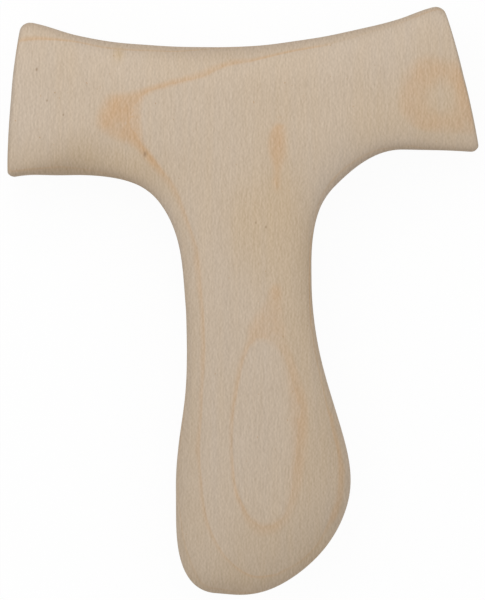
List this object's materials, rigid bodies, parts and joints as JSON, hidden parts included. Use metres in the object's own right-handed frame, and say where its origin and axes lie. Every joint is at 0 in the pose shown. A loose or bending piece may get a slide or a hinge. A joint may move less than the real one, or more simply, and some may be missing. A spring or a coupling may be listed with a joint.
{
  "type": "tau cross",
  "caption": "Palm-held T-shaped cross carved from pale close-grained wood, with a rounded section, flared arms and a swelling, rounded foot.",
  "frame": {"origin": "on the flat back, under the crossing, where the middle lines of the arms and the stem meet", "axes": "+Y along the stem towards the top of the crossbar, +X to the cross's right arm as seen from the front, +Z out of the face; the cross lies on its back"},
  "size_m": [0.0759, 0.0949, 0.017],
  "materials": {
    "maple": "sanded smooth, thin matt oil, end grain on the foot and the crossbar's top edge"
  },
  "bodies": {
    "root": {"cross_body": "maple"}
  },
  "joints": []
}
